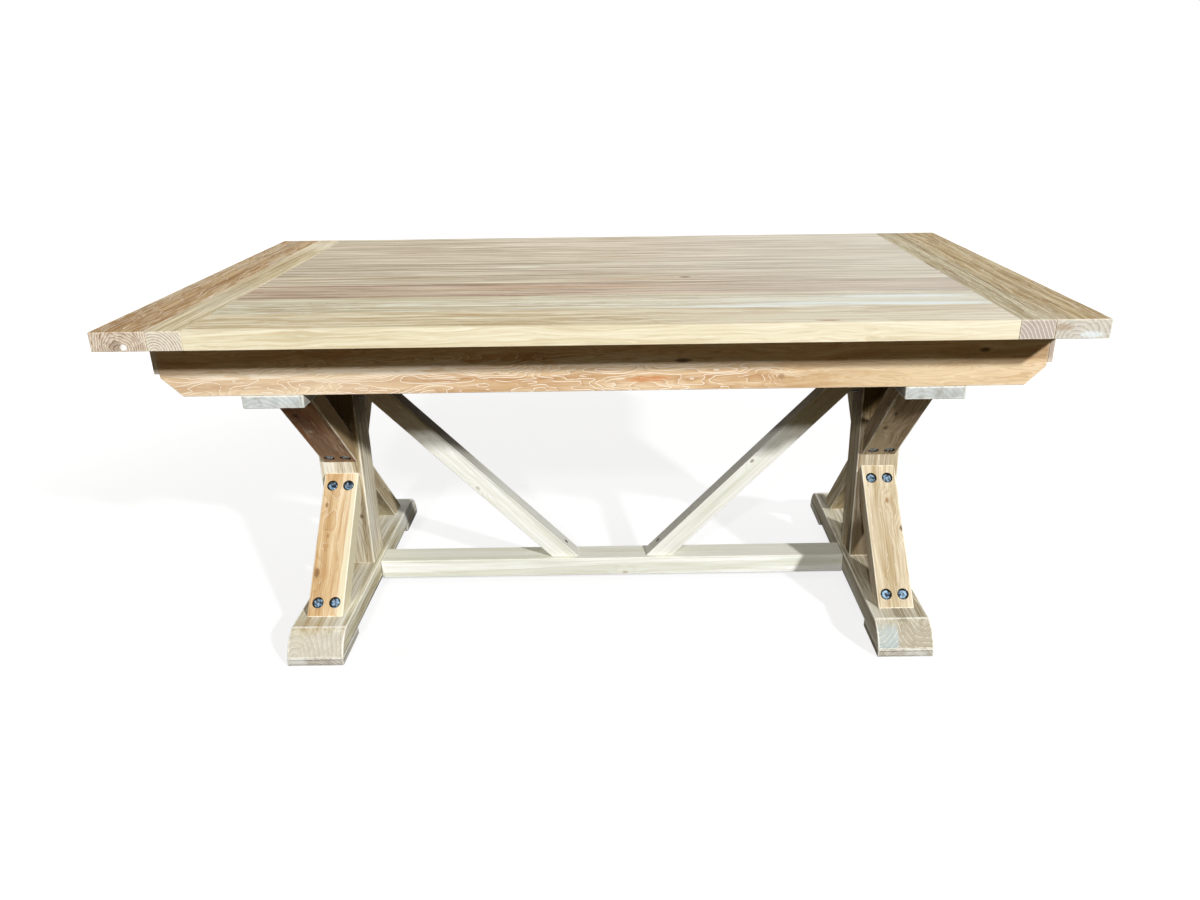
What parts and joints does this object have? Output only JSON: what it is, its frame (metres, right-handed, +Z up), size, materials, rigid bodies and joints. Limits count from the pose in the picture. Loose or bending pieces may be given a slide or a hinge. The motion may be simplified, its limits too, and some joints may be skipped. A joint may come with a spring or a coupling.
{
  "type": "trestle dining table",
  "caption": "Rectangular wooden dining table: planked top with cross planks at its ends, clipped apron, and braced trestles on rounded feet joined by a low stretcher.",
  "frame": {"origin": "on the floor, under the middle of the top", "axes": "+X along the length of the top, +Y across it to the back, +Z up"},
  "size_m": [1.8, 1, 0.78],
  "materials": {
    "field_teak": "satin",
    "end_plank_teak": "satin",
    "apron_teak": "satin",
    "trestle_teak": "matte, limed",
    "brace_teak": "satin, limed",
    "bearer_teak": "matte, limed",
    "stretcher_teak": "matte, bleached",
    "hidden_wood": "rough sawn",
    "dark_steel": "blued",
    "screw_steel": "satin"
  },
  "bodies": {
    "root": {"back_apron": "apron_teak", "back_cleat": "hidden_wood", "bearer_bolts": "dark_steel", "bearer_washers": "dark_steel", "diagonal_screws": "screw_steel", "field_board_1": "field_teak", "field_board_2": "field_teak", "field_board_3": "field_teak", "field_board_4": "field_teak", "field_board_5": "field_teak", "field_board_6": "field_teak", "field_board_7": "field_teak", "field_board_8": "field_teak", "front_apron": "apron_teak", "front_cleat": "hidden_wood", "left_back_lower_brace": "brace_teak", "left_back_pad": "trestle_teak", "left_back_upper_brace": "brace_teak", "left_bearer": "bearer_teak", "left_brace_bolts": "dark_steel", "left_brace_washers": "dark_steel", "left_cross_rail": "hidden_wood", "left_diagonal_brace": "stretcher_teak", "left_end_rail": "apron_teak", "left_end_spline": "hidden_wood", "left_foot_inner_board": "trestle_teak", "left_foot_outer_board": "trestle_teak", "left_front_lower_brace": "brace_teak", "left_front_pad": "trestle_teak", "left_front_upper_brace": "brace_teak", "left_inner_end_plank": "end_plank_teak", "left_outer_end_plank": "end_plank_teak", "left_post": "trestle_teak", "middle_batten": "hidden_wood", "post_bolts": "dark_steel", "post_washers": "dark_steel", "right_back_lower_brace": "brace_teak", "right_back_pad": "trestle_teak", "right_back_upper_brace": "brace_teak", "right_bearer": "bearer_teak", "right_brace_bolts": "dark_steel", "right_brace_washers": "dark_steel", "right_cross_rail": "hidden_wood", "right_diagonal_brace": "stretcher_teak", "right_end_rail": "apron_teak", "right_end_spline": "hidden_wood", "right_foot_inner_board": "trestle_teak", "right_foot_outer_board": "trestle_teak", "right_front_lower_brace": "brace_teak", "right_front_pad": "trestle_teak", "right_front_upper_brace": "brace_teak", "right_inner_end_plank": "end_plank_teak", "right_outer_end_plank": "end_plank_teak", "right_post": "trestle_teak", "stretcher": "stretcher_teak", "stretcher_pegs": "hidden_wood", "top_screws": "screw_steel"}
  },
  "joints": []
}
